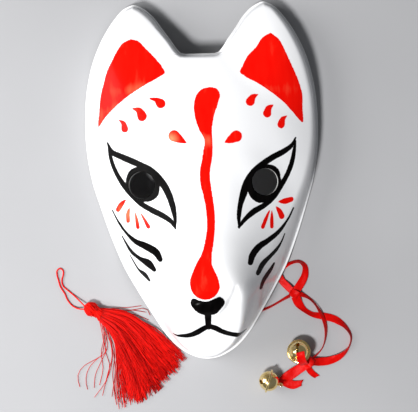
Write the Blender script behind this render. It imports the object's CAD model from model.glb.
"""Kitsune mask, lying face up, with its red ribbon, two round bells and a silk tassel.

Sizes are in millimetres and each mesh is turned into metres at the end. The face looks up, the ears
point to +Y and +X is the viewer's right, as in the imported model.
"""
import math
import random

import bmesh
import bpy
import numpy as np
from mathutils import Matrix, Vector, noise


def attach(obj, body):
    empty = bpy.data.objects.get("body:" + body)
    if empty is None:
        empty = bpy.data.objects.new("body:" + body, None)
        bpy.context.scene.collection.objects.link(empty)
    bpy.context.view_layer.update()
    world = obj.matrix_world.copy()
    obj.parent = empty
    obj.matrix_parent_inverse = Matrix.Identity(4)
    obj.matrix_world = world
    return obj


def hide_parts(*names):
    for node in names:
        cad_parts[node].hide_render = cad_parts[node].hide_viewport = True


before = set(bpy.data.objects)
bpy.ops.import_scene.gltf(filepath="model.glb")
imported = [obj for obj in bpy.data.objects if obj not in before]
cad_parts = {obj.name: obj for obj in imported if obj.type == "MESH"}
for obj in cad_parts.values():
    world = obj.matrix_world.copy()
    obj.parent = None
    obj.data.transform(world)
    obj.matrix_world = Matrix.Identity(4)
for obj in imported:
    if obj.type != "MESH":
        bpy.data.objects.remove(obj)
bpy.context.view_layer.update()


# Mask shell. One thin sheet of moulded plastic, 1.8 mm thick: a fox's face with its two ears, a flat lip
# all round, two round eye holes, and a small cord hole in each side wall. The forms below are the mould's.
MM = 0.001
WALL, LIP, LIP_BACK = 1.8, 1.6, 2.2
CHIN, EAR_TIP, HEAD_TOP = -131.5, 131.5, 92.0
OUTER_EDGE = [
    (-7.5, -130.4), (0, CHIN), (7.5, -130.4), (15.5, -126.8), (23, -121.4), (31, -112.2), (40, -97.5),
    (50, -80), (60.5, -61), (69, -40), (76.5, -17), (82, 2), (85.2, 22), (86, 45), (84, 70), (79, 90),
    (70, 109), (62, 120.5), (54.5, 128.2), (47, EAR_TIP),
]
INNER_EDGE = [
    (47, EAR_TIP), (39.3, 127.4), (32, 120), (26.5, 111.5), (20.5, 102.6), (15.2, 94.6), (13.2, 92.6),
    (10.6, HEAD_TOP),
]
SIDE_SLOPE = [(-131.5, 6.5), (-100, 5), (-80, 3.4), (-60, 2.6), (-40, 2.6), (-10, 3.8), (20, 5), (131.5, 5)]
SIDE_ROUNDING = [(-131.5, 9), (-100, 9), (-60, 13), (-20, 13), (131.5, 12)]
CHEEK_ARCH, ARCH_MIDDLE, ARCH_HALF = 5.0, -80.0, 40.0
EAR_TIP_LIFT, HEAD_TOP_LIFT = 5.0, 22.0
HEAD_LINE = [
    (-131.5, 30), (-115, 37), (-95, 41), (-60, 45), (-20, 49), (20, 50), (45, 47.5), (70, 41.5), (92, 33),
    (131.5, 8),
]
HEAD_RADIUS = [(-131.5, 30), (-100, 42), (-60, 68), (-20, 95), (40, 120), (80, 140), (131.5, 140)]
NOSE_LINE = [
    (-131.5, 30), (-126, 42), (-120, 48.5), (-114, 53), (-107, 57), (-101, 60.5), (-94, 65), (-88, 69),
    (-82, 72), (-76, 72.5), (-66, 70), (-50, 65), (-30, 58.5), (-8, 52.5), (15, 48), (40, 42), (70, 30),
    (131.5, 0),
]
NOSE_FLAT = [
    (-131.5, 15), (-118, 23), (-104, 27), (-90, 27.5), (-80, 24.5), (-67, 15), (-54, 8), (-40, 4), (0, 0),
]
NOSE_SIDE = [
    (-131.5, 8), (-90, 8), (-80, 9), (-67, 14), (-54, 27), (-40, 46), (-20, 74), (0, 90), (131.5, 90),
]
NOSE_STEEP = [(-131.5, 2.6), (-80, 2.4), (-60, 1.7), (-40, 1.3), (0, 1.2), (131.5, 1.2)]
MUZZLE_BLEND = [(-131.5, 6), (-90, 7), (-60, 12), (-20, 14), (131.5, 14)]
EAR_LINE = [(20, 8), (40, 20), (60, 28), (75, 31), (92, 31), (110, 27), (131.5, 19)]
EAR_MIDDLE, EAR_RADIUS, EAR_BLEND = 46.5, 55.0, 12.0
EYE, EYE_HOLE, EYE_SLANT = (43.5, -1.0), 19.0, math.radians(52)
EYE_HOLLOW, EYEBALL = (3.0, 36.0, 20.0), (2.4, 24.0, 12.0)
NOSE, PAD = ((0.0, -82.0), (11.5, 7.5), 3.2), ((15.5, -93.5), (11.0, 10.0), 2.4)
NOSTRIL_CREASE = [
    (19.6, -71.5, 0.6), (18.6, -75.5, 2.2), (16.2, -80, 2.4), (13.4, -84.4, 1), (9.8, -88.2, 0.1),
]
CREASE_DEEP, CREASE_AREA, CREASE_SOFT = 1.5, ((14.7, -79.9), (8.4, 12)), (-2.0, 1.1)
NOSE_CROWN = 150.0
LIP_STEP, LIP_FADE, LIP_ENDS = 2.0, (-108.0, -100.0), (18, 34)
ROUNDED_WITHIN = 8
STRAP_HOLE, STRAP_HOLE_Y, STRAP_HOLE_Z = 2.6, 6.0, 5.6


def along(stations, at):
    """Smooth curve through (position, value) stations, read at each position in at."""
    position, value = np.array(stations, float).T
    slope = np.gradient(value, position)
    at = np.clip(at, position[0], position[-1])
    i = np.clip(np.searchsorted(position, at) - 1, 0, len(position) - 2)
    span = position[i + 1] - position[i]
    t = (at - position[i]) / span
    return (
        (1 + 2 * t) * (1 - t) ** 2 * value[i]
        + t * (1 - t) ** 2 * span * slope[i]
        + t**2 * (3 - 2 * t) * value[i + 1]
        + t**2 * (t - 1) * span * slope[i + 1]
    )


def smooth_line(points, step):
    """Points about step apart on the smooth curve through the given points, with whatever else they carry."""
    points = np.array(points, float)
    reach = np.concatenate([[0], np.cumsum(np.linalg.norm(np.diff(points[:, :3], axis=0), axis=1))])
    at = np.linspace(0, reach[-1], max(2, round(reach[-1] / step) + 1))
    return np.array([along(list(zip(reach, column)), at) for column in points.T]).T


def smooth_step(low, high, value):
    t = np.clip((value - low) / (high - low), 0, 1)
    return t * t * (3 - 2 * t)


def soft_min(a, b, width):
    share = np.clip(0.5 + 0.5 * (b - a) / width, 0, 1)
    return b + (a - b) * share - width * share * (1 - share)


def bump(x, y, middle, reach, turn=0.0, power=1):
    dx, dy = x - middle[0], y - middle[1]
    u = (dx * math.cos(turn) + dy * math.sin(turn)) / reach[0]
    v = (dy * math.cos(turn) - dx * math.sin(turn)) / reach[1]
    return np.exp(-((u * u + v * v) ** power))


def brush_depth(stations, x, y):
    """How far inside a brush stroke each point is. The stations are (x, y, width)."""
    stroke = smooth_line(stations, 0.5)
    away = np.hypot(x[..., None] - stroke[:, 0], y[..., None] - stroke[:, 1])
    return (stroke[:, 2] / 2 - away).max(-1)


OUTER = smooth_line(OUTER_EDGE, 1.5)
OUTER = OUTER[OUTER[:, 0] >= 0]
OUTER[0] = (0, CHIN)
INNER = smooth_line(INNER_EDGE, 1.0)
EDGE = np.concatenate([OUTER, INNER[1:], [(0, HEAD_TOP)]])
ARCH = np.cos(np.clip((OUTER[:, 1] - ARCH_MIDDLE) / ARCH_HALF, -1, 1) * math.pi / 2) ** 2
OUTER_LIFT = CHEEK_ARCH * ARCH + EAR_TIP_LIFT * smooth_step(HEAD_TOP - 20, EAR_TIP, OUTER[:, 1])
INNER_LIFT = EAR_TIP_LIFT + (HEAD_TOP_LIFT - EAR_TIP_LIFT) * smooth_step(EAR_TIP, HEAD_TOP, INNER[:, 1])
LIFT = np.concatenate([OUTER_LIFT, INNER_LIFT[1:], [HEAD_TOP_LIFT]])


def nearest_edge(x, y):
    """For points of the right half: distance to the edge, the rim's lift there, and the edge's point."""
    start, run = EDGE[:-1], np.diff(EDGE, axis=0)
    found = []
    for low in range(0, len(x), 4000):
        point = np.stack([x[low:low + 4000], y[low:low + 4000]], -1)[:, None, :]
        t = np.clip(((point - start) * run).sum(-1) / (run * run).sum(-1), 0, 1)
        touch = start + t[..., None] * run
        away = np.linalg.norm(point - touch, axis=-1)
        row, i = np.arange(len(away)), away.argmin(-1)
        share = t[row, i]
        lift = LIFT[i] * (1 - share) + LIFT[i + 1] * share
        found.append(np.column_stack([away[row, i], lift, touch[row, i]]))
    return np.concatenate(found).T


def height(x, y):
    """Height of the face over the table: forehead, cheeks, ears and muzzle, held in by the side walls."""
    x = np.abs(x)
    head = along(HEAD_LINE, y) - x**2 / (2 * along(HEAD_RADIUS, y))
    ear = along(EAR_LINE, y) - (x - EAR_MIDDLE) ** 2 / (2 * EAR_RADIUS)
    head = -soft_min(-head, -ear, EAR_BLEND)
    beyond = np.maximum(x - along(NOSE_FLAT, y), 0)
    rounding, steep = along(NOSE_SIDE, y), along(NOSE_STEEP, y)
    bend = rounding * steep
    fall = np.where(beyond < bend, beyond**2 / (2 * rounding), steep * (beyond - bend / 2))
    muzzle = along(NOSE_LINE, y) - x**2 / (2 * NOSE_CROWN) - fall
    face = -soft_min(-head, -muzzle, along(MUZZLE_BLEND, y))
    turn = math.pi - EYE_SLANT
    face += EYEBALL[0] * bump(x, y, EYE, EYEBALL[1:], turn)
    face -= EYE_HOLLOW[0] * bump(x, y, EYE, EYE_HOLLOW[1:], turn)
    face += NOSE[2] * bump(x, y, NOSE[0], NOSE[1], power=2) + PAD[2] * bump(x, y, PAD[0], PAD[1])
    face -= LIP_STEP * (1 - smooth_step(*LIP_FADE, y)) * (1 - smooth_step(*LIP_ENDS, x))
    (middle_x, middle_y), (half_x, half_y) = CREASE_AREA
    near = (np.abs(x - middle_x) < half_x) & (np.abs(y - middle_y) < half_y)
    crease = brush_depth(NOSTRIL_CREASE, x[near], y[near])
    face[near] -= CREASE_DEEP * smooth_step(*CREASE_SOFT, crease)
    inside, lift = nearest_edge(x, y)[:2]
    side = lift + WALL + along(SIDE_SLOPE, y) * np.maximum(inside - LIP, 0)
    rounding = along(SIDE_ROUNDING, y) * smooth_step(LIP, ROUNDED_WITHIN, inside) + 0.01
    return np.where(inside <= LIP + 1e-4, lift + WALL, soft_min(face, side, rounding))


# The face starts as two flat grids, the head's half and one ear, whose columns and rows follow the edge.
BROW_COLUMNS, CHEEK_COLUMNS, HEAD_ROWS, EAR_ROWS = 9, 52, 184, 34
FINE_ROWS, FINE_SHARE = 8, 0.22
EYE_RING, EYE_EASE = 7, 9


def rows_between(start, end, count, fine_at_end):
    """Row positions that are close together for the first few at one end."""
    step = np.ones(count)
    step[:FINE_ROWS] = np.linspace(FINE_SHARE, 1, FINE_ROWS)
    if fine_at_end:
        step = step[::-1]
    return start + (end - start) * np.concatenate([[0], np.cumsum(step)]) / step.sum()


def inset_x(y, edge, deep):
    """The x between the edge and a point deep inside that is LIP_BACK from the edge."""
    for _ in range(26):
        middle = (edge + deep) / 2
        short = nearest_edge(middle, y)[0] < LIP_BACK
        edge, deep = np.where(short, middle, edge), np.where(short, deep, middle)
    return deep


def unit(vectors):
    return vectors / np.maximum(np.linalg.norm(vectors, axis=1), 1e-6)[:, None]


def edge_x(y, side):
    return np.interp(y, side[:, 1], side[:, 0])


def add_grid(bm, columns, rows):
    """The points of a new grid, and each one's column and row."""
    made = bmesh.ops.create_grid(bm, x_segments=columns, y_segments=rows, size=1)["verts"]
    at = np.array([v.co[:2] for v in made])
    i, j = np.rint((at + 1) / 2 * (columns, rows)).astype(int).T
    return made, i, j


def put(verts, x, y, z=None):
    for vert, place in zip(verts, np.column_stack([x, y, np.zeros(len(x)) if z is None else z])):
        vert.co = place


shell = bmesh.new()
brow_y = HEAD_TOP - LIP_BACK
foot = inset_x(np.array([brow_y + 0.02]), np.array([0.0]), np.array([39.0]))[0]
head_y = rows_between(CHIN + LIP_BACK + 0.12, brow_y, HEAD_ROWS, False)
head_width = inset_x(head_y, edge_x(head_y, OUTER), np.zeros(len(head_y)))
ear_share = np.linspace(0, 1, CHEEK_COLUMNS + 1)
brow = np.linspace(0, foot, BROW_COLUMNS + 1)[:-1]
share = np.concatenate([brow, foot + ear_share * (head_width[-1] - foot)]) / head_width[-1]
verts, i, j = add_grid(shell, BROW_COLUMNS + CHEEK_COLUMNS, HEAD_ROWS)
x, y = share[i] * head_width[j], head_y[j]
eye_i = np.abs(share * np.interp(EYE[1], head_y, head_width) - EYE[0]).argmin()
eye_j = np.abs(head_y - EYE[1]).argmin()
u, v = i - eye_i, j - eye_j
ring = np.maximum(np.abs(u), np.abs(v))
pull = 1 - smooth_step(EYE_RING, EYE_RING + EYE_EASE, ring)
reach = EYE_HOLE / 2 * ring / EYE_RING / np.maximum(np.hypot(u, v), 1e-6)
x += pull * (EYE[0] + reach * u - x)
y += pull * (EYE[1] + reach * v - y)
put(verts, x, y)
hole = {vert for vert, r in zip(verts, ring) if r <= EYE_RING}
bmesh.ops.delete(shell, geom=[f for f in shell.faces if all(c in hole for c in f.verts)], context="FACES")

ear_y = rows_between(brow_y, EAR_TIP - LIP_BACK - 0.15, EAR_ROWS, True)
ear_deep = (edge_x(ear_y, INNER[::-1]) * (ear_y > HEAD_TOP) + edge_x(ear_y, OUTER)) / 2
ear_low = inset_x(ear_y, edge_x(ear_y, INNER[::-1]) * (ear_y > HEAD_TOP), ear_deep)
ear_low[0] = foot
ear_high = inset_x(ear_y, edge_x(ear_y, OUTER), ear_deep)
verts, i, j = add_grid(shell, CHEEK_COLUMNS, EAR_ROWS)
put(verts, ear_low[j] + ear_share[i] * (ear_high - ear_low)[j], ear_y[j])
bmesh.ops.remove_doubles(shell, verts=shell.verts, dist=0.02)
half = shell.verts[:] + shell.edges[:] + shell.faces[:]
bmesh.ops.mirror(shell, geom=half, matrix=Matrix(), merge_dist=0.02, axis="X")
bmesh.ops.dissolve_degenerate(shell, edges=shell.edges, dist=0.005)

# Brush painting. Red ears, brow stripe, drops and petals, black eyes, whiskers, nose and mouth, painted by
# hand with two lacquers. Closed shapes are outlines, strokes are (x, y, width) from their start to their end.
RED_SHAPES = [
    [(-48.4, 102.8), (-43, 100.9), (-39, 96.5), (-31, 87.7), (-26.2, 81), (-24.8, 77.2), (-27.7, 75.2),
     (-38.6, 69.4), (-48.4, 63.8), (-58.4, 56.7), (-69, 47), (-73.6, 41.3), (-72.8, 53), (-71.6, 62.2),
     (-68.8, 71.9), (-66.3, 80), (-62.7, 86.9), (-57.9, 95.4), (-54.6, 99.7)],
    [(50.9, 104.6), (45.4, 101.6), (39.9, 94.3), (33.4, 87.5), (29.8, 80.8), (28, 76.2), (30.6, 73.8),
     (40.4, 68.1), (49.8, 61.6), (56.8, 56.2), (64, 48.7), (69.5, 42.4), (71.5, 40.6), (72.3, 50.9),
     (72.2, 61.1), (69.9, 69.8), (66.1, 79), (62.8, 86.5), (60, 93.1), (56, 100.3)],
    [(5.7, 65.9), (10.8, 64.9), (13.2, 61.1), (11.7, 54.4), (8.5, 45), (6.9, 35.4), (7.2, 26), (6.3, 15.3),
     (4.6, 6), (5.1, -2.8), (6.2, -11.9), (7.1, -22.4), (7, -30.2), (5.4, -42.8), (4.1, -50.3),
     (4.2, -55.9), (5.5, -59.2), (8.4, -66.6), (8.7, -71.5), (5.8, -75.9), (-0.9, -78.3), (-7.7, -75.7),
     (-10.4, -71.6), (-10.8, -65.3), (-8.9, -60), (-6.1, -54.3), (-3.1, -49.4), (-0.1, -40.1), (1.5, -30),
     (1.2, -19.6), (-0.4, -9.2), (-2, -1.7), (-2.2, 7.6), (-0.6, 15.4), (0.4, 20.8), (1.6, 28.2),
     (-2.1, 36.6), (-4.5, 44.9), (-5.1, 51.9), (-2.6, 61.3), (0.3, 64.3)],
]
RED_STROKES = [
    [(-55.6, -11.2, 1.2), (-58.9, -14.3, 3.5), (-61.5, -17.9, 3.3)],
    [(-52.7, -16.6, 0.7), (-54, -21, 2.9), (-54.2, -26, 2.8)],
    [(-48.6, -19.9, 0.7), (-47.7, -25, 2.2), (-47, -30.3, 2.8)],
    [(-44.5, -20.6, 0.7), (-42, -25, 2), (-39.3, -30, 2.9)],
    [(52.4, -15.4, 0.7), (57.4, -15.2, 4.1), (62.2, -14.1, 3.6)],
    [(50.6, -18.7, 0.7), (53.2, -22.2, 3.6), (54.8, -25.8, 4.3)],
    [(47.5, -21.5, 0.7), (47.3, -27.1, 2.6), (47.2, -32.8, 2.7)],
    [(45.6, -21.5, 1.1), (43.1, -26.8, 2.6), (40.5, -32.5, 2.8)],
    [(-28.1, 55.5, 6.7), (-31.2, 58.2, 3.3), (-35.5, 59.4, 1.2)],
    [(-41.5, 47.2, 6.9), (-43.4, 51.1, 4.6), (-48.1, 53, 0.7)],
    [(-54.2, 39, 5.2), (-55.1, 42.9, 3.3), (-58.2, 45.4, 0.7)],
    [(34.3, 55.2, 6.3), (36.2, 58.3, 4.2), (39.7, 60.1, 1)],
    [(46, 46.8, 5.9), (47.3, 50.4, 4.2), (50.4, 52.7, 1)],
    [(55.9, 38.9, 5.4), (57.1, 42.5, 3.8), (60.1, 45, 0.7)],
    [(-19.3, 32.5, 7.9), (-15.1, 29.7, 4.8), (-10.9, 27.2, 0.7)],
    [(23.7, 31.1, 8), (19.4, 28.7, 5), (15.6, 26.9, 0.7)],
]
BLACK_SHAPES = [
    [(-1, -79.5), (-4.7, -78.8), (-9.9, -77.7), (-10.9, -79.6), (-8.7, -84.7), (-2.7, -88.8), (0.9, -89.1),
     (4.6, -88.9), (9.2, -84.7), (11.8, -80.2), (10.7, -78.1), (8.7, -77), (5, -77.8), (1.9, -79)],
    [(-30.7, -0.3), (-30.5, -4.4), (-32, -8.7), (-35.7, -11.6), (-42.5, -12.5), (-48.6, -10),
     (-52.8, -5.5), (-54.6, 0.4), (-54, 5.3), (-51.4, 9.5), (-46.2, 12), (-40.7, 11.8), (-35.3, 9),
     (-31.8, 4.4)],
    [(55.4, -2.1), (54, -7.9), (49.7, -12.6), (43.2, -15.4), (36.7, -15), (32.7, -11.7), (30.7, -7.1),
     (30.8, -1.3), (33, 4.7), (37.6, 9), (44, 10.9), (49.7, 10), (53.2, 7), (54.2, 3.8), (54.6, 0.8)],
]
BLACK_STROKES = [
    [(-67.3, 29.9, 0.9), (-64.1, 23.1, 3.5), (-58.1, 19.9, 4), (-50.9, 16.6, 4.4), (-43.1, 12.9, 4.2),
     (-37, 9.5, 4.5), (-31.5, 4, 5.1), (-26.3, -3.3, 4.8), (-23, -11.2, 4.3), (-21.2, -18.1, 3.7),
     (-20.2, -24.8, 2.2), (-20.1, -31.6, 0.7)],
    [(-66.5, 26.9, 1.4), (-65.6, 21.1, 2.4), (-63.8, 14, 2.8), (-60.9, 7.1, 3.1), (-56.4, -0.3, 3.7),
     (-50.3, -7.7, 3.9), (-43.2, -14.5, 3.6), (-35.4, -19, 3.9), (-28.4, -22.6, 3.7), (-23, -26.5, 2.9),
     (-20, -31.3, 0.8)],
    [(66.4, 29.7, 0.8), (62.9, 23.9, 2.8), (57, 19.9, 3.8), (48.9, 15.9, 4), (41.4, 11.1, 4.3),
     (34.8, 5.6, 4.5), (30.3, -1, 4.9), (27.5, -8.5, 4.9), (25.1, -15.9, 3.6), (23.7, -24.1, 2.8),
     (23.6, -32.1, 1)],
    [(66.2, 27.2, 1), (64.8, 19.4, 2.6), (63, 11.9, 3.2), (59.7, 4.1, 3.3), (54.6, -4.1, 3.5),
     (48.9, -11.7, 3.8), (42.2, -17.3, 3.5), (34.4, -21.4, 4), (28.5, -25.9, 3), (23.5, -31.4, 1.7)],
    [(-65.9, -18.2, 0.8), (-63.4, -23.5, 1.1), (-60.8, -28.1, 1.7), (-55.9, -34.7, 2), (-49.5, -40.3, 3.5),
     (-41.1, -43.9, 5), (-33.9, -48.1, 5), (-31.4, -52.2, 3.6)],
    [(-59.7, -37.2, 0.8), (-56.9, -42.3, 1.6), (-53.1, -48.1, 2.6), (-46.6, -52.8, 3), (-39.9, -55.9, 5.4),
     (-36, -59.5, 3.1)],
    [(-54.5, -51, 0.6), (-51.3, -56.5, 1), (-48.1, -61.2, 1.5), (-43.4, -64.3, 3.4), (-40, -67.7, 1.7)],
    [(63.8, -20.4, 1), (61.2, -25.6, 1.3), (58.1, -30.2, 1.7), (51.9, -37.1, 3), (44.5, -42.1, 3.6),
     (36.7, -46.5, 4.5), (32, -52, 4.5), (30.7, -56.1, 3.7)],
    [(57.2, -38.7, 0.7), (54.3, -45, 1.4), (50.7, -49.5, 2.5), (45.1, -54.2, 2.9), (39.7, -58.6, 3.9),
     (36, -64, 3.3)],
    [(48.8, -59.8, 1.6), (46.1, -63.8, 2.8), (42.7, -67.5, 3.4), (39.6, -71.3, 3), (38.2, -75.1, 2.6)],
    [(0.4, -86.6, 4.7), (0.4, -92.1, 4.2), (0.5, -98.5, 3.7)],
    [(0.8, -97.7, 3.4), (-3.6, -99.9, 3.8), (-7.6, -102.4, 4), (-12.9, -104.5, 3.4), (-17.9, -104.8, 2.4),
     (-23.8, -104.4, 0.9)],
    [(0.6, -97.7, 3.2), (4.9, -99.2, 3.8), (9.2, -101.8, 3.6), (15.4, -104.4, 3.4), (21.6, -105.8, 3.2),
     (25.4, -106, 2.2), (27.6, -106.2, 0.9)],
]
# How far the wet black spread past the brush, and the depth that stands for no paint near
PAINT_SPREAD, NO_PAINT = 0.15, -6.0
# Where the red went on thin and the white shines through: middle, reach and how much
THIN_RED = [
    ((-56, 52), (12, 5), 0.35), ((-22, 30), (5, 4), 1), ((-51, -20), (12, 6), 0.7), ((-70, 46), (5, 8), 0.15),
    ((-40, 66), (22, 4), 0.3), ((42, 64), (22, 4), 0.15), ((1, 29), (7, 4), 0.4),
]


def shape_depth(outline, x, y):
    """How far inside a closed painted outline each point is, and less than 0 outside."""
    line = smooth_line(outline + outline[:1], 0.6)
    a, b = line[:-1], line[1:]
    across = (a[:, 1] > y[:, None]) != (b[:, 1] > y[:, None])
    rise = np.where(np.abs(b[:, 1] - a[:, 1]) < 1e-9, 1e-9, b[:, 1] - a[:, 1])
    left = x[:, None] < a[:, 0] + (y[:, None] - a[:, 1]) * (b[:, 0] - a[:, 0]) / rise
    inside = (across & left).sum(1) % 2 == 1
    away = np.hypot(x[:, None] - line[:, 0], y[:, None] - line[:, 1]).min(1)
    return np.where(inside, away, -away)


def painted(shapes, strokes, x, y):
    """Depth in millimetres inside the nearest of the shapes and strokes, less than 0 outside them."""
    depth = np.full(len(x), NO_PAINT)
    for points, measure in [(s, shape_depth) for s in shapes] + [(s, brush_depth) for s in strokes]:
        low, high = np.min(points, axis=0)[:2] + NO_PAINT - 1, np.max(points, axis=0)[:2] - NO_PAINT + 1
        near = (x > low[0]) & (x < high[0]) & (y > low[1]) & (y < high[1])
        depth[near] = np.maximum(depth[near], measure(points, x[near], y[near]))
    return depth


def red_depth(x, y):
    return painted(RED_SHAPES, RED_STROKES, x, y)


def black_depth(x, y):
    return painted(BLACK_SHAPES, BLACK_STROKES, x, y) + PAINT_SPREAD


# Where paint ends, the sheet's faces are divided once more, so that the brushed edges stay crisp.
EDGE_OF_PAINT = 0.9
shell.verts.index_update()
x, y = np.array([v.co[:2] for v in shell.verts]).T
close = np.minimum(np.abs(red_depth(x, y)), np.abs(black_depth(x, y))) < EDGE_OF_PAINT
cut_edges = {e for f in shell.faces if any(close[v.index] for v in f.verts) for e in f.edges}
bmesh.ops.subdivide_edges(shell, edges=list(cut_edges), cuts=1, use_grid_fill=True)


def half_plane(verts):
    x, y = np.array([v.co[:2] for v in verts]).T
    return np.where(x < 0, -1, 1), np.abs(x), y


def from_eye(x, y):
    return np.hypot(np.abs(x) - EYE[0], y - EYE[1])


# The lip is drawn out from the sheet's edge in three steps, and then the whole is raised to its heights.
rim = [e for e in shell.edges if e.is_boundary and from_eye(*e.verts[0].co[:2]) > EYE_HOLE / 2 + 1]
for inside in (LIP, LIP / 2, 0):
    made = bmesh.ops.extrude_edge_only(shell, edges=rim)["geom"]
    verts = [v for v in made if isinstance(v, bmesh.types.BMVert)]
    fresh = set(verts)
    rim = [e for e in made if isinstance(e, bmesh.types.BMEdge) and fresh.issuperset(e.verts)]
    side, x, y = half_plane(verts)
    away, _, touch_x, touch_y = nearest_edge(x, y)
    share = inside / away
    put(verts, side * (touch_x + (x - touch_x) * share), touch_y + (y - touch_y) * share)
bmesh.ops.remove_doubles(shell, verts=shell.verts, dist=0.01)
x, y = np.array([v.co[:2] for v in shell.verts]).T
put(shell.verts, x, y, height(x, y))
bmesh.ops.recalc_face_normals(shell, faces=shell.faces)
if sum(f.normal.z for f in shell.faces) < 0:
    bmesh.ops.reverse_faces(shell, faces=shell.faces)
bmesh.ops.solidify(shell, geom=shell.faces[:], thickness=WALL)
EDGE_ROUND, EDGE_TURN = 0.35, math.radians(50)
NEAR_EDGE, NEAR_EYE = 0.3, 1.9
sharp = [e for e in shell.edges if e.is_manifold and e.calc_face_angle() > EDGE_TURN]
side, x, y = half_plane([v for e in sharp for v in e.verts])
at_edge = nearest_edge(x, y)[0] < NEAR_EDGE
at_eye = np.abs(from_eye(x, y) - EYE_HOLE / 2) < NEAR_EYE
keep = (at_edge | at_eye).reshape(-1, 2).all(1)
sharp = [e for e, k in zip(sharp, keep) if k]
bmesh.ops.bevel(shell, geom=sharp, affect="EDGES", offset=EDGE_ROUND, segments=2, profile=0.5, material=-1)
bmesh.ops.scale(shell, vec=(MM, MM, MM), verts=shell.verts)


def in_scene(name, data):
    item = bpy.data.objects.new(name, data)
    bpy.context.scene.collection.objects.link(item)
    return item


def new_piece(name, bm):
    """A finished bmesh, already in metres, becomes a smooth-shaded object."""
    mesh = bpy.data.meshes.new(name)
    bm.to_mesh(mesh)
    bm.free()
    mesh.shade_smooth()
    return in_scene(name, mesh)


def made_mesh(item):
    """The mesh that an object's curve or modifiers come to."""
    bpy.context.view_layer.update()
    return bpy.data.meshes.new_from_object(item.evaluated_get(bpy.context.evaluated_depsgraph_get()))


def cut_with(piece, cutters):
    """Cuts closed shapes out of a piece and leaves the cut mesh."""
    for cutter in cutters:
        modifier = piece.modifiers.new("cut", "BOOLEAN")
        modifier.object = cutter
        modifier.solver = "EXACT"
    mesh = made_mesh(piece)
    piece.modifiers.clear()
    piece.data = mesh
    for cutter in cutters:
        bpy.data.objects.remove(cutter)


def placed(bm, place):
    """Moves a bmesh in millimetres to its place, in metres."""
    bmesh.ops.transform(bm, matrix=Matrix.Scale(MM, 4) @ place, verts=bm.verts)
    return bm


def rod(diameter, length, place):
    bm = bmesh.new()
    radius = diameter / 2
    bmesh.ops.create_cone(bm, cap_ends=True, segments=24, radius1=radius, radius2=radius, depth=length)
    return new_piece("cutter", placed(bm, place))


mask = new_piece("mask_shell", shell)
ON_SIDE = Matrix.Rotation(math.pi / 2, 4, "Y")
strap_holes = [Matrix.Translation((side * 80, STRAP_HOLE_Y, STRAP_HOLE_Z)) @ ON_SIDE for side in (-1, 1)]
cut_with(mask, [rod(STRAP_HOLE, 24, place) for place in strap_holes])


def per_point(mesh, name, values):
    """Gives each point of the mesh a number that a material can read."""
    mesh.attributes.new(name, "FLOAT", "POINT").data.foreach_set("value", np.asarray(values, np.float32))


co = np.empty(len(mask.data.vertices) * 3, np.float32)
mask.data.vertices.foreach_get("co", co)
x, y, z = co.reshape(-1, 3).T.astype(float) / MM
# The black of the eyes goes in over the rounded edge of the hole and down its wall.
EYE_BLACK_REACH, EYE_BLACK = 0.45, 2
back = smooth_step(0.35, 1.2, height(x, y) - z)
in_eye = from_eye(x, y) < EYE_HOLE / 2 + EYE_BLACK_REACH
black = np.where(back > 0.9, NO_PAINT, black_depth(x, y))
per_point(mask.data, "red", np.where(back > 0.5, NO_PAINT, red_depth(x, y)))
per_point(mask.data, "black", np.where(in_eye, EYE_BLACK, black))
per_point(mask.data, "thin", sum(much * bump(x, y, middle, reach) for middle, reach, much in THIN_RED))
per_point(mask.data, "back", back)
per_point(mask.data, "edge", nearest_edge(np.abs(x), y)[0])


class Value:
    """A socket in a material, so that shader maths can be written as sums."""

    def __init__(self, finish, socket):
        self.finish, self.socket = finish, socket

    def math(self, operation, *values, **settings):
        settings["operation"] = operation
        return self.finish.node("Math", settings, dict(enumerate((self, *values))))

    def __add__(self, other):
        return self.math("ADD", other)

    def __sub__(self, other):
        return self.math("SUBTRACT", other)

    def __rsub__(self, other):
        return self.finish.node("Math", {"operation": "SUBTRACT"}, {0: other, 1: self})

    def __mul__(self, other):
        return self.math("MULTIPLY", other)

    def __truediv__(self, other):
        return self.math("DIVIDE", other)

    __radd__, __rmul__ = __add__, __mul__

    def held(self):
        """The value kept between 0 and 1."""
        return self.math("ADD", 0, use_clamp=True)

    def most(self, other):
        return self.math("MAXIMUM", other)


class Finish:
    """One procedural material on a Principled shader."""

    def __init__(self, name, **fixed):
        self.material = bpy.data.materials.new(name)
        self.material.use_nodes = True
        self.shader = self.material.node_tree.nodes["Principled BSDF"]
        self.fill(self.shader, fixed)
        self.place = self.node("TexCoord", output="Object")

    def node(self, kind, settings=None, inputs=None, output=0):
        node = self.material.node_tree.nodes.new("ShaderNode" + kind)
        for key, value in (settings or {}).items():
            setattr(node, key, value)
        self.fill(node, inputs or {})
        return Value(self, node.outputs[output])

    def fill(self, node, inputs):
        for key, value in inputs.items():
            socket = node.inputs[key.replace("_", " ") if isinstance(key, str) else key]
            if isinstance(value, Value):
                self.material.node_tree.links.new(value.socket, socket)
            else:
                socket.default_value = value

    def noise(self, scale, detail=2.0, stretch=(1, 1, 1)):
        """Noise of so many waves in a millimetre, from 0 to 1."""
        scales = tuple(scale / MM * s for s in stretch)
        place = self.node("Mapping", None, {"Vector": self.place, "Scale": scales})
        return self.node("TexNoise", None, {"Vector": place, "Scale": 1.0, "Detail": detail})

    def read(self, name):
        return self.node("Attribute", {"attribute_name": name}, output="Fac")

    def mix(self, share, first, second):
        """First colour where share is 0, second where it is 1. A Mix node's colour sockets are 6 and 7."""
        return self.node("Mix", {"data_type": "RGBA"}, {0: share, 6: first, 7: second}, 2)

    def relief(self, height, deep, before=None):
        """A bump whose height of 1 is so many millimetres."""
        inputs = {"Height": height, "Strength": 1.0, "Distance": deep * MM}
        if before:
            inputs["Normal"] = before
        return self.node("Bump", None, inputs)


def rgb(red, green, blue):
    return (red, green, blue, 1.0)


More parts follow.
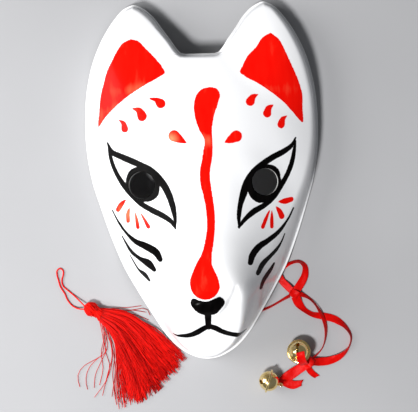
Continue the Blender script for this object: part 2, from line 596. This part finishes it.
lacquer = Finish("mask_lacquer", Coat_Roughness=0.14, IOR=1.5, Specular_IOR_Level=0.02)
wobble = lacquer.noise(0.45, 2) - 0.5
bristle = lacquer.noise(1.6, 3) - 0.5
red_edge = lacquer.read("red") + wobble * 0.5 + bristle * 0.22
black_edge = lacquer.read("black") + wobble * 0.4 + bristle * 0.2
red_share = (red_edge / 0.32 + 0.5).held()
black_share = (black_edge / 0.3 + 0.5).held()
cloud = lacquer.noise(0.02, 3)
streak = lacquer.noise(0.22, 4, (1, 0.16, 1))
fine = lacquer.noise(2.4, 2)
back_share = lacquer.read("back")
white = lacquer.mix(cloud, rgb(0.86, 0.865, 0.885), rgb(0.91, 0.91, 0.915))
rubbed = ((1.6 - lacquer.read("edge")) * 0.5 + (lacquer.noise(0.3, 3) - 0.62) * 3).held() * 0.5
white = lacquer.mix(rubbed, white, rgb(0.74, 0.72, 0.69))
thin = (lacquer.read("thin") * (0.55 + streak) + (streak - 0.62) * 0.5).held()
red = lacquer.mix((streak * 1.5 - 0.35).held(), rgb(0.84, 0.003, 0.001), rgb(0.93, 0.008, 0.003))
red = lacquer.mix(thin, red, rgb(0.94, 0.26, 0.12))
pool = ((red_edge * -0.9) + 1.3).held() * red_share * 0.35
red = lacquer.mix(pool, red, rgb(0.68, 0.003, 0.002))
black = lacquer.mix((streak * 1.6 - 0.5).held(), rgb(0.001, 0.001, 0.001), rgb(0.005, 0.004, 0.004))
raw = lacquer.mix(lacquer.noise(0.05, 4), rgb(0.66, 0.655, 0.64), rgb(0.76, 0.755, 0.74))
colour = lacquer.mix(red_share, white, red)
colour = lacquer.mix(black_share, colour, black)
colour = lacquer.mix(back_share, colour, raw)
rough = 0.30 + cloud * 0.06 + fine * 0.04 - (red_share + black_share) * 0.10 + back_share * 0.20
ridge = streak * 0.25 * red_share.most(black_share)
level = red_share * 0.6 + black_share + ridge + lacquer.noise(0.28, 2) * 0.35
grain = fine * back_share * 2 + lacquer.noise(0.9, 3) * back_share
lacquer.fill(lacquer.shader, {
    "Base Color": colour, "Roughness": rough,
    "Coat Weight": (0.5 - red_share * 0.44 - black_share * 0.488).held() * (1 - back_share),
    "Normal": lacquer.relief(grain, 0.05, lacquer.relief(level, 0.05)),
})


def fit(piece, finish, nodes):
    """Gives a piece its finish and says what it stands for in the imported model."""
    piece.data.materials.clear()
    piece.data.materials.append(finish.material)
    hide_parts(*nodes)
    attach(piece, "root")
    return piece


fit(mask, lacquer, ["mask"])


# Ribbon. One length of narrow red satin, 6 mm wide and 0.3 mm thick, tied at the mask's right cheek hole. It
# passes under the cheek, makes a loop and a long slack round, and ends in a big knot with two cut tails.
RIBBON_WIDE, RIBBON_THICK = 6.0, 0.3
AROUND, OVER_TABLE = 24, 0.05
# The height of the band's middle where it lies flat on the table
FLAT = 0.5
satin = Finish("red_satin", Sheen_Weight=0.01, Sheen_Roughness=0.4, Specular_IOR_Level=0.10)
along_mm, across_mm = satin.read("along"), satin.read("across")
rib = (along_mm * 9.0).math("SINE") * 0.5 + 0.5
thread = (across_mm * 21.0).math("SINE") * 0.5 + 0.5
selvedge = ((across_mm.math("ABSOLUTE") - 2.45) * 4).held()
shade = satin.noise(0.16, 3)
silk = satin.mix(shade, rgb(0.46, 0.000, 0.000), rgb(0.80, 0.003, 0.002))
silk = satin.mix(rib * 0.3, silk, rgb(0.90, 0.010, 0.005))
silk = satin.mix(selvedge * 0.4, silk, rgb(0.50, 0.001, 0.002))
weave = rib * 0.6 + thread * 0.3 + selvedge * 1.5
satin.fill(satin.shader, {
    "Base Color": silk, "Roughness": 0.30 + rib * 0.1 + selvedge * 0.2,
    "Normal": satin.relief(weave, 0.05, satin.relief(satin.noise(0.35, 3), 0.35)),
})


def band_layers(bm):
    return [bm.verts.layers.float.new(name) for name in ("along", "across")]


def ribbon_strip(stations, step=0.8, axis=None, notch=0.0, slant=0.0):
    """A flat band along (x, y, z, width, roll) stations: roll 0 lies flat, 90 stands on its edge.

    It never sinks in the table and is a little crumpled. A band with an axis keeps its width along that. The
    far end is cut with a V as deep as notch, or at a slant."""
    line = smooth_line(stations, step)
    where, wide, roll = line[:, :3].copy(), line[:, 3], np.radians(line[:, 4])
    where[:, 2] = np.maximum(where[:, 2], wide / 2 * np.abs(np.sin(roll)) + RIBBON_THICK / 2 + 2 * OVER_TABLE)
    run = unit(np.gradient(where, axis=0))
    flat = unit(np.cross(run, (0, 0, 1)) if axis is None else np.tile(axis, (len(run), 1)))
    side = flat * np.cos(roll)[:, None] + np.cross(flat, run) * np.sin(roll)[:, None]
    face = np.cross(side, run)
    bm = bmesh.new()
    along_layer, across_layer = band_layers(bm)
    verts, i, j = add_grid(bm, len(line) - 1, AROUND)
    angle = j % AROUND / AROUND * math.tau
    t = np.sign(np.cos(angle)) * np.abs(np.cos(angle)) ** 0.7
    lift = np.sign(np.sin(angle)) * np.abs(np.sin(angle)) ** 0.4 * RIBBON_THICK / 2
    far = i * step
    cup = 0.35 * (t * t - 0.4) * np.sin(far / 7.3 + 0.6) + 0.16 * np.sin(t * 3.2 + far / 3.1)
    lift += cup * np.minimum(wide[i] / RIBBON_WIDE, 1)
    place = where[i] + side[i] * (t * wide[i] / 2)[:, None] + face[i] * lift[:, None]
    place -= run[i] * ((i == len(line) - 1) * (notch * (1 - np.abs(t)) + slant * t))[:, None]
    on_top = np.sin(angle) * face[i][:, 2] > 0
    place[:, 2] = np.maximum(place[:, 2], np.where(on_top, RIBBON_THICK, 0) + OVER_TABLE)
    put(verts, *place.T)
    bmesh.ops.scale(bm, vec=(MM, MM, MM), verts=bm.verts)
    for vert, a, b in zip(verts, far, t * RIBBON_WIDE / 2):
        vert[along_layer], vert[across_layer] = a, b
    bmesh.ops.remove_doubles(bm, verts=bm.verts, dist=0.001 * MM)
    bmesh.ops.holes_fill(bm, edges=[e for e in bm.edges if e.is_boundary], sides=0)
    bmesh.ops.recalc_face_normals(bm, faces=bm.faces)
    return bm, where


def join(meshes):
    """Several bmeshes become one."""
    first = meshes[0]
    for other in meshes[1:]:
        spare = bpy.data.meshes.new("spare")
        other.to_mesh(spare)
        other.free()
        first.from_mesh(spare)
        bpy.data.meshes.remove(spare)
    return first


def lump(middle, size, turn, folds):
    """The tight heart of a knot: a small crumpled ball of the same satin."""
    bm = bmesh.new()
    bmesh.ops.create_icosphere(bm, subdivisions=5, radius=0.5)
    along_layer, across_layer = band_layers(bm)
    for vert in bm.verts:
        place = vert.co.normalized()
        fold = math.sin(place.x * folds + 2.4 * noise.noise(place * 2.1)) * 0.5 + noise.noise(place * 3.4)
        vert.co = place * (0.5 + 0.055 * fold)
        vert[along_layer], vert[across_layer] = place.x * 4, place.y * 2
    turned = Matrix.Rotation(math.radians(turn), 4, "Z") @ Matrix.Diagonal((*size, 1))
    return placed(bm, Matrix.Translation(middle) @ turned)


def belt(middle, radius, tall, turn, wide):
    """A turn of ribbon round a knot's heart. turn is the way that the band's axis points."""
    axis = math.radians(turn)
    stations = []
    for angle in np.linspace(0, math.tau, 15):
        out = radius * math.cos(angle)
        stations.append((
            middle[0] - out * math.sin(axis), middle[1] + out * math.cos(axis),
            middle[2] + tall * math.sin(angle) + 0.3 * math.sin(3 * angle), wide, 12 * math.sin(2 * angle),
        ))
    return ribbon_strip(stations, 0.4, (math.cos(axis), math.sin(axis), 0))[0]


def ribbon_piece(name, meshes, nodes):
    return fit(new_piece(name, join(meshes)), satin, nodes)


TIE = [
    (75.9, 4.6, 5.4, 2.6, 90), (74.2, 0, 3.8, 3.6, 80), (70.9, -8, 1.8, 4.6, 50), (65, -20, FLAT, 5.8, 12),
    (56, -35, FLAT, 6, 0), (44, -50, FLAT, 6, -8), (32, -64, FLAT, 6, 0), (24, -78, FLAT, 6, 10),
    (23.5, -90, FLAT, 5.6, 25), (31, -97.2, FLAT, 4.6, 50), (42.9, -95.7, 1.2, 3.4, 66),
    (52.6, -91.2, 1.2, 3.2, 70), (61.6, -86.4, 2.2, 3.4, 55),
]
LOOP = [
    (63.6, -83.2, 2.6, 4.8, 10), (60.4, -79.8, 2, 5.2, 10), (55.9, -74.6, FLAT, 5, 10),
    (54.2, -68.6, FLAT, 4.6, 30), (58.4, -64.4, FLAT, 4.2, 50), (64.4, -61.4, 1.3, 4.2, 62),
    (69.8, -61.2, 1.4, 4.4, 60), (73.4, -64.8, 1.6, 5, 35), (73.4, -70.6, 1.6, 5.4, 15),
    (70.4, -76.8, 2, 6, 0), (66.4, -82.4, 3, 6, -6),
]
LONG = [
    (65.6, -86.6, 3, 6.6, 4), (68.2, -92.4, 1.2, 6.4, 10), (72.4, -97.4, FLAT, 4.6, 36),
    (78.2, -100.8, FLAT, 4.6, 40), (85.4, -102.2, FLAT, 5.4, 20), (95.6, -105.4, FLAT, 5.6, 26),
    (102.4, -110.6, FLAT, 5, 52), (106.2, -118.6, FLAT, 4.4, 64), (104.4, -126.4, FLAT, 4.6, 60),
    (98.4, -132.4, FLAT, 5.4, 30), (90, -135.8, 1.2, 6, 4), (82, -136.2, 2.4, 6, -8),
    (75.4, -136, 5.6, 5, -10), (71.4, -138.6, 3.6, 6, 0), (66, -141.9, 1.8, 7.2, 0),
    (60.6, -145.4, 1.6, 7.6, 0), (56, -148.4, 1.9, 7, 0), (52.9, -150.4, 3.4, 5, 8),
    (51.6, -151.3, 6, 2.8, 30), (52.2, -151, 8.8, 1.8, 50),
]
SHORT = [
    (68, -84.6, 3, 4, 20), (74.8, -87.8, 1.8, 3.6, 56), (80.2, -93.2, 2.6, 3.4, 62),
    (84, -99.2, 3.2, 3.8, 48), (86.4, -104.6, 3.2, 4.2, 42), (87.8, -111, 1.4, 4.4, 50),
    (87.4, -118.4, FLAT, 4.2, 62), (85, -125.4, FLAT, 3.8, 70), (80.2, -131.2, 1.8, 3.4, 60),
    (76.2, -134.4, 4, 3.2, 40),
]


def free_cord(piece, path):
    path[0] * MM
    path * MM


def free_ribbon(name, stations, nodes):
    bm, path = ribbon_strip(stations)
    free_cord(ribbon_piece(name, [bm], nodes), path)


knot_1 = ribbon_piece("ribbon_knot_small", [
    lump((65.2, -84.6, 2.5), (7.4, 6.4, 3.8), 20, 9), belt((65.2, -84.6, 2.6), 3.4, 2.0, 60, 5.6),
], ["ribbon_knot_1"])
# The big knot's two free ends, the one that lies up over the bell, and the one left over at the small bell
tails = [
    ribbon_strip([
        (73.2, -138.4, 3.4, 4, 0), (74.2, -141.2, 1.6, 4.6, 10), (76.8, -144.8, FLAT, 4.6, 20),
        (80.4, -147.6, FLAT, 3.8, 20),
    ], 0.6, slant=1.2)[0],
    ribbon_strip([
        (71.6, -137.2, 5.6, 4.6, 0), (70.4, -136.4, 10.4, 5.4, 0), (68.9, -134.4, 14.4, 6, 0),
        (67.6, -131.4, 17, 6.2, 0), (67, -128.4, 18.5, 6.2, 0), (66.6, -125.4, 18.9, 6.2, 0),
    ], 0.6, (0.97, 0.22, 0))[0],
    ribbon_strip([
        (52.4, -151.4, 7.4, 2.4, 30), (53, -151, 3, 4, 10), (55.2, -150.6, FLAT, 6, 0),
        (59, -152, FLAT, 6.8, 0), (62.5, -153.2, FLAT, 6.4, 0), (66.1, -152.7, FLAT, 5.2, -4),
        (69, -152, FLAT, 4, -6),
    ], 0.6, slant=1.8)[0],
]
knot_2 = ribbon_piece("ribbon_knot_big", [
    lump((74.6, -135.6, 4.0), (8.0, 7.0, 6.8), -30, 11), belt((74.8, -135.8, 4.1), 3.7, 3.5, -40, 5.2),
    belt((74.0, -136.2, 4.0), 3.5, 3.4, 35, 4.6), *tails,
], ["ribbon_knot_2"])


# Bells. Two round brass jingle bells, each pressed from two half balls whose edges are folded into the thin
# rim round the middle, with a slit that ends in two round holes, and a soldered wire loop for the ribbon.
BELL_BALL, BELL_RIM, BELL_WALL = 14.6, 17.4, 0.7
BELL_SLIT, BELL_SLIT_HOLE, BELL_SLIT_HALF = 1.6, 3.0, 4.6
BELL_LOOP, BELL_LOOP_WIRE, BELL_LOOP_SUNK = 4.2, 1.1, 0.5
BELLS = {
    "bell_1": ((66.4, -126.6, 10.5), 160, -45, 45),
    "bell_2": ((43.9, -148.1, 8.9), 84, -18, 20),
}
gold = Finish("pale_gold_brass", Metallic=1.0, Coat_Weight=0.15, Coat_Roughness=0.06)
tarnish = gold.noise(0.22, 4)
scratch = gold.noise(1.2, 2, (1, 6, 1))
bright = gold.mix((tarnish * 2.4 - 0.8).held(), rgb(1.0, 0.83, 0.42), rgb(0.95, 0.68, 0.24))
gold.fill(gold.shader, {
    "Base Color": gold.mix((tarnish * 4 - 2.5).held() * 0.5, bright, rgb(0.42, 0.24, 0.07)),
    "Roughness": 0.12 + tarnish * 0.08 + scratch * 0.03,
    "Normal": gold.relief(scratch * 0.4 + gold.noise(0.5, 2), 0.03),
})


def spin_round(bm, geom, axis, steps):
    """Spins geometry all the way round an axis through the origin, and closes it."""
    bmesh.ops.spin(bm, geom=geom, axis=axis, angle=math.tau, steps=steps, use_merge=True)
    bmesh.ops.remove_doubles(bm, verts=bm.verts, dist=0.005)
    bmesh.ops.recalc_face_normals(bm, faces=bm.faces)
    return bm


def spun(profile):
    bm = bmesh.new()
    verts = [bm.verts.new(p) for p in profile]
    edges = [bm.edges.new(pair) for pair in zip(verts, verts[1:])]
    return spin_round(bm, verts + edges, (0, 0, 1), 72)


def arc(radius, start, end, count):
    angles = np.linspace(start, end, count)
    return [(radius * math.cos(a), 0, radius * math.sin(a)) for a in angles]


def bell_body():
    """Both half balls with the folded rim, outside and inside, before the slit is cut."""
    ball, rim = BELL_BALL / 2, BELL_RIM / 2
    fold = [
        (ball + 0.15, 0, 0.62), (rim - 0.55, 0, 0.46), (rim - 0.25, 0, 0.72), (rim, 0, 0.5),
        (rim + 0.02, 0, 0),
    ]
    upper = arc(ball, math.pi / 2, 0.11, 22) + fold
    lower = [(r, 0, -z) for r, _, z in upper[::-1][1:]]
    bore = arc(ball - BELL_WALL, math.pi / 2, -math.pi / 2, 36)
    outside, inside = spun(upper + lower), spun(bore)
    bmesh.ops.reverse_faces(inside, faces=inside.faces)
    return join([outside, inside])


def slit_outline():
    radius = BELL_SLIT_HOLE / 2
    mouth = math.asin(BELL_SLIT / 2 / radius)
    for side in (1, -1):
        for angle in np.linspace(mouth - math.pi, math.pi - mouth, 18):
            x, y = BELL_SLIT_HALF + radius * math.cos(angle), radius * math.sin(angle)
            yield (side * x, side * y, -BELL_BALL * 0.6)


def slit_cutter():
    bm = bmesh.new()
    outline = bm.faces.new([bm.verts.new(p) for p in slit_outline()])
    made = bmesh.ops.extrude_face_region(bm, geom=[outline])["geom"]
    inner = [v for v in made if isinstance(v, bmesh.types.BMVert)]
    bmesh.ops.translate(bm, vec=(0, 0, BELL_BALL * 0.5), verts=inner)
    bmesh.ops.recalc_face_normals(bm, faces=bm.faces)
    return bm


def wire_ring(radius, wire, middle):
    bm = bmesh.new()
    bmesh.ops.create_circle(bm, segments=12, radius=wire / 2, matrix=Matrix.Translation((radius, 0, 0)))
    spin_round(bm, bm.verts[:] + bm.edges[:], (0, 1, 0), 40)
    bmesh.ops.translate(bm, vec=middle, verts=bm.verts)
    return bm


for name, (middle, lean, side, spin) in BELLS.items():
    turn = [Matrix.Rotation(math.radians(a), 4, axis) for a, axis in ((side, "Z"), (lean, "Y"), (spin, "Z"))]
    place = Matrix.Translation(middle) @ turn[0] @ turn[1] @ turn[2]
    bell = new_piece(name + "_brass", placed(bell_body(), place))
    cut_with(bell, [new_piece("cutter", placed(slit_cutter(), place))])
    loop_radius = (BELL_LOOP - BELL_LOOP_WIRE) / 2
    ring = wire_ring(loop_radius, BELL_LOOP_WIRE, (0, 0, BELL_BALL / 2 + BELL_LOOP / 2 - BELL_LOOP_SUNK))
    whole = bmesh.new()
    whole.from_mesh(bell.data)
    whole = join([whole, placed(ring, place)])
    whole.to_mesh(bell.data)
    whole.free()
    bell.data.shade_smooth()
    bell.data.set_sharp_from_angle(angle=math.radians(38))
    fit(bell, gold, [name])

free_ribbon("ribbon_tie_strand", TIE, ["ribbon_tie"])
free_ribbon("ribbon_loop_strand", LOOP, ["ribbon_loop"])
free_ribbon("ribbon_long_strand", LONG, ["ribbon_long", "ribbon_end"])
free_ribbon("ribbon_short_strand", SHORT, ["ribbon_short"])


# Tassel. Red silk: a doubled hanging cord, a bound ball of threads for a head, a few turns of thread round
# its neck, and a fringe of loose threads combed out into a fan beside the mask, some of them gone astray.
THREAD, STRAND = 1.1, 0.42
HEAD = (-86.2, -91.0, 4.9)
WAIST, WAIST_WIDTH, WAIST_REACH = (-81.4, -94.0), 6.4, 22.0
TASSEL_WAY = math.atan2(WAIST[1] - HEAD[1], WAIST[0] - HEAD[0])
FRINGE_LONG = 72.5
FRINGE_TOP = [(0, 0), (15, 2), (32, -12.5), (50, -23.5), (FRINGE_LONG, -30)]
FRINGE_LOW = [(0, -57), (15, -57), (32, -63), (55, -67), (FRINGE_LONG, -69)]
FRINGE_THICK = [(0, 6.4), (15, 7), (40, 6), (FRINGE_LONG, 3)]
THREAD_ROUTE = [
    (-90, -89.6, 4.9), (-94.2, -85.6, 2.6), (-98.9, -81.2, 0.9), (-103.4, -77.2, 0.65), (-106.5, -74.2, 0.65),
    (-107.3, -69.6, 0.65), (-106.2, -65.8, 0.65), (-106.2, -62.8, 0.65), (-108.45, -60.9, 0.65),
    (-110.7, -62.8, 0.65), (-110.8, -65.8, 0.65), (-109.9, -69.6, 0.65), (-108.6, -74.6, 0.65),
    (-105.6, -79.8, 0.65), (-103.6, -84.6, 0.65), (-100.6, -88.6, 0.65), (-97, -90.8, 1.6),
    (-90.6, -91.4, 4.4), (-86.2, -91.2, 4.8), (-81.4, -94.2, 3.6), (-76, -98.6, 3), (-69.5, -104.4, 2.6),
    (-62, -111.6, 2.2), (-55.5, -118.8, 1.8),
]
silk_finish = Finish("tassel_silk", Sheen_Weight=0.01, Sheen_Roughness=0.35, Specular_IOR_Level=0.08)
dye = silk_finish.noise(0.5, 2)
tone = silk_finish.read("tone")
red_silk = silk_finish.mix(tone, rgb(0.26, 0.000, 0.000), rgb(1.0, 0.010, 0.004))
silk_finish.fill(silk_finish.shader, {
    "Base Color": silk_finish.mix(dye * 0.3, red_silk, rgb(0.86, 0.003, 0.002)),
    "Roughness": 0.34 + dye * 0.14,
    "Normal": silk_finish.relief(silk_finish.noise(3.0, 2), 0.08),
})


def threads(name, lines, thick, nodes, sides=0):
    """One mesh of many fine round threads. Each line is its points and its tone from dark to bright."""
    curve = bpy.data.curves.new(name, "CURVE")
    curve.dimensions = "3D"
    curve.bevel_depth = thick / 2 * MM
    curve.bevel_resolution = sides
    curve.use_fill_caps = True
    for points, _ in lines:
        spline = curve.splines.new("POLY")
        spline.points.add(len(points) - 1)
        spline.points.foreach_set("co", np.column_stack([points * MM, np.ones(len(points))]).ravel())
    holder = in_scene(name, curve)
    mesh = made_mesh(holder)
    bpy.data.objects.remove(holder)
    mesh.shade_smooth()
    per_line = len(mesh.vertices) // sum(len(points) for points, _ in lines)
    tones = np.concatenate([np.full(len(points) * per_line, tone) for points, tone in lines])
    per_point(mesh, "tone", np.resize(tones, len(mesh.vertices)))
    return fit(in_scene(name, mesh), silk_finish, nodes)


PLY_TURN, PLY_STEP = 2.6, 0.45
route = smooth_line(THREAD_ROUTE, PLY_STEP)
run = unit(np.gradient(route, axis=0))
flat = unit(np.cross(run, (0, 0, 1)))
up = np.cross(flat, run)
twist = np.arange(len(route)) * PLY_STEP * math.tau / PLY_TURN
plies = []
for k in range(3):
    angle = (twist + k * math.tau / 3)[:, None]
    beside = (flat * np.cos(angle) + up * np.sin(angle)) * THREAD * 0.25
    plies.append((route + beside, 0.45 + 0.2 * k))
hanger = threads("tassel_cord", plies, THREAD * 0.52, ["tassel_loop"], 1)

rng = random.Random(7)
lines = []
way = Vector((math.cos(TASSEL_WAY), math.sin(TASSEL_WAY), 0))
across = Vector((-way.y, way.x, 0))
HEAD_THREADS, HEAD_FUZZ, NECK_TURNS = 120, 60, 6
HEAD_BACK, HEAD_NECK = -4.7, 9.5
HEAD_RADIUS_ALONG = [
    (HEAD_BACK, 0.3), (-4.2, 2), (-2.6, 3.7), (0, 4.5), (2.6, 4.1), (4.6, 3.3), (6.2, 3.1), (HEAD_NECK, 3.6),
]


def round_head(forth, radius, angle):
    """A point beside the tassel's axis, kept over the table."""
    point = Vector(HEAD) + way * forth + across * radius * math.cos(angle)
    return point.x, point.y, max(point.z + radius * math.sin(angle), 0.35)


for k in range(HEAD_THREADS):
    angle = math.tau * (k + 0.5 * rng.random()) / HEAD_THREADS
    lean, proud = rng.uniform(0.02, 0.09), rng.uniform(-0.25, 0.25)
    points = []
    for forth in np.linspace(HEAD_BACK, HEAD_NECK, 17):
        radius = float(along(HEAD_RADIUS_ALONG, forth)) + proud * smooth_step(HEAD_BACK, -3, forth)
        points.append(round_head(forth, radius, angle + lean * forth))
    lines.append((np.array(points), rng.uniform(0.3, 1)))
for _ in range(HEAD_FUZZ):
    angle, forth, stray = rng.uniform(0, 6.28), rng.uniform(-4, 6), rng.uniform(0.4, 1.5)
    points = []
    for share in np.linspace(0, 1, 7):
        radius = float(along(HEAD_RADIUS_ALONG, forth + 4 * share)) + stray * share**1.5
        points.append(round_head(forth + 4 * share, radius, angle + 0.4 * share))
    lines.append((np.array(points), rng.uniform(0.2, 0.8)))
for k in range(NECK_TURNS):
    turn = [round_head(5.6 + 0.45 * k, 3.3, angle) for angle in np.linspace(0, math.tau, 29)]
    lines.append((np.array(turn), 0.6))
head = threads("tassel_bound_head", lines, 0.5, ["tassel_head"])

lines = []
reach = np.linspace(0, 1, 13)
TUFTS, PER_TUFT, PER_LOOSE_TUFT, LOOSE, LOOSE_SPREAD = 120, 11, 4, 0.1, 0.3
for tuft in range(TUFTS):
    loose = tuft < TUFTS * LOOSE
    if loose:
        middle = rng.uniform(-LOOSE_SPREAD, 0.05)
    else:
        middle = (tuft / TUFTS - LOOSE + rng.random() / TUFTS) / (1 - LOOSE)
    layer, length = rng.random(), rng.gauss(0.92, 0.055)
    phase, wave = rng.uniform(0, 6.28), rng.uniform(0.4, 2.2)
    slew = rng.gauss(0, 2.2) * (1 - middle)
    for _ in range(PER_LOOSE_TUFT if loose else PER_TUFT):
        share = min(1, rng.gauss(middle, 0.05 if loose else 0.030))
        long = FRINGE_LONG * min(1.03, length + rng.gauss(0, 0.025))
        away = np.minimum(reach * long, FRINGE_LONG)
        top, low = np.radians(along(FRINGE_TOP, away)), np.radians(along(FRINGE_LOW, away))
        direction = low + (top - low) * (max(share, 0) + min(share, 0) * smooth_step(18, 62, away))
        from_middle = 2 * min(max(share, 0), 1) - 1
        neck = WAIST_WIDTH / 2 * from_middle * (1 - smooth_step(0, WAIST_REACH, away))
        far = away / FRINGE_LONG
        own = rng.gauss(0, 1.3) * far + rng.uniform(0, 1.5) * np.sin(away / 5.5 + rng.uniform(0, 6.28))
        sway = (wave * np.sin(away / 11 + phase) + slew * far * (not loose) + own) * far
        mean = (top + low) / 2
        x = WAIST[0] + reach * long * np.cos(direction) - (neck + sway) * np.sin(mean)
        y = WAIST[1] + reach * long * np.sin(direction) + (neck + sway) * np.cos(mean)
        deep = min(1, max(0, rng.gauss(layer, 0.15)))
        full = math.sqrt(max(0.08, 1 - from_middle**2))
        lift = along(FRINGE_THICK, away) * (0.5 + (deep - 0.5) * full)
        z = np.maximum(lift * (1 - 0.4 * far**2), STRAND * 0.6)
        lines.append((np.column_stack([x, y, z]), rng.uniform(0.25, 1) * deep**0.8))
STRAYS = [
    [(-80, -93.2), (-70, -91.8), (-58, -91.6), (-49, -90.6)],
    [(-79, -93.6), (-66, -93.4), (-55, -93.8), (-46, -95.6)],
    [(-78, -94.2), (-64, -95.4), (-52, -97.6), (-44, -101.5)],
    [(-79, -94), (-66, -94.8), (-54, -93.4), (-45, -93.2), (-42.6, -98)],
    [(-81, -97), (-78, -108), (-77.6, -118), (-80, -127), (-88, -131.4), (-95, -136), (-98, -142),
     (-96.6, -150)],
    [(-81, -97), (-79.2, -106), (-78, -116), (-76.4, -124), (-84, -130), (-90, -137), (-92, -146),
     (-91, -152)],
    [(-80, -97), (-77, -109), (-75, -120), (-80, -131), (-85, -142), (-86, -151)],
    [(-80, -97), (-76, -110), (-77, -123), (-74, -134), (-77, -147)],
    [(-80, -97), (-77, -112), (-80, -124), (-79, -137), (-82, -149)],
    [(-79, -97), (-74, -112), (-72, -128), (-76, -142), (-80, -157)],
    [(-79, -97), (-73, -113), (-72, -131), (-77, -146), (-86, -158)],
    [(-80, -98), (-77, -107), (-72, -120), (-70, -136), (-73, -158)],
    [(-79.5, -97), (-75, -108), (-70, -124), (-72, -142), (-70, -160)],
    [(-79, -96), (-73, -110), (-66, -128), (-66, -146), (-64, -163)],
]
for stray in STRAYS:
    flat_line = smooth_line(stray, 4.5)
    start = 1 - smooth_step(0, 0.35, np.linspace(0, 1, len(flat_line)))
    lift = 0.4 + 2.6 * start + 0.2 * rng.random()
    lines.append((np.column_stack([flat_line, lift]), rng.uniform(0.3, 0.8)))
fringe = threads("tassel_fringe", lines, STRAND, ["tassel_skirt"])
free_cord(hanger, smooth_line(THREAD_ROUTE, 1.2))


# Studio. A plain pale floor, a broad soft light low at the left, a smaller one over the chin's left side, a
# weak pale sky, and the camera straight above.
FLOOR_SIZE, FLOOR_SINK = 3, 0.0002
floor_mesh = bmesh.new()
bmesh.ops.create_grid(floor_mesh, x_segments=1, y_segments=1, size=FLOOR_SIZE)
bmesh.ops.translate(floor_mesh, vec=(0, 0, -FLOOR_SINK), verts=floor_mesh.verts)
floor = new_piece("studio_floor", floor_mesh)
paper = Finish("studio_paper")
grey = paper.mix(paper.noise(0.01, 2), rgb(0.36, 0.36, 0.37), rgb(0.39, 0.39, 0.40))
paper.fill(paper.shader, {"Base Color": grey, "Roughness": 0.8})
floor.data.materials.append(paper.material)

LIT = Vector((0, -0.02, 0.03))


def soft_light(name, place, size, power):
    light = bpy.data.lights.new(name, "AREA")
    light.shape, light.size, light.energy = "DISK", size, power
    lamp = in_scene(name, light)
    lamp.location = place
    lamp.rotation_euler = (LIT - Vector(place)).to_track_quat("-Z", "Y").to_euler()


soft_light("key_light", (-0.98, 0.12, 0.62), 0.80, 11.5)
soft_light("front_light", (-0.42, -0.38, 1.10), 0.20, 16.5)
world = bpy.data.worlds.new("studio")
world.use_nodes = True
sky = world.node_tree.nodes["Background"].inputs
sky["Color"].default_value, sky["Strength"].default_value = rgb(0.92, 0.95, 1.0), 0.16
scene = bpy.context.scene
scene.world = world
scene.view_settings.view_transform = "Standard"

CAMERA_HIGH, FRAME_WIDE, ROLL, SENSOR = 0.700, 0.3106, math.radians(1.7), 36
FRAME_MIDDLE = Vector((0.0036, -0.0179, 0))
camera_data = bpy.data.cameras.new("camera")
camera_data.sensor_width = SENSOR
spot = Vector((0, 0, CAMERA_HIGH))
camera_data.lens = SENSOR * (spot - FRAME_MIDDLE).length / FRAME_WIDE
camera_data.clip_start, camera_data.clip_end = 0.05, 10
camera = in_scene("camera", camera_data)
back_axis = (spot - FRAME_MIDDLE).normalized()
right_axis = Vector((math.cos(ROLL), -math.sin(ROLL), 0))
right_axis = (right_axis - back_axis * right_axis.dot(back_axis)).normalized()
up_axis = back_axis.cross(right_axis)
facing = Matrix((right_axis, up_axis, back_axis)).transposed().to_4x4()
camera.matrix_world = Matrix.Translation(spot) @ facing
scene.camera = camera
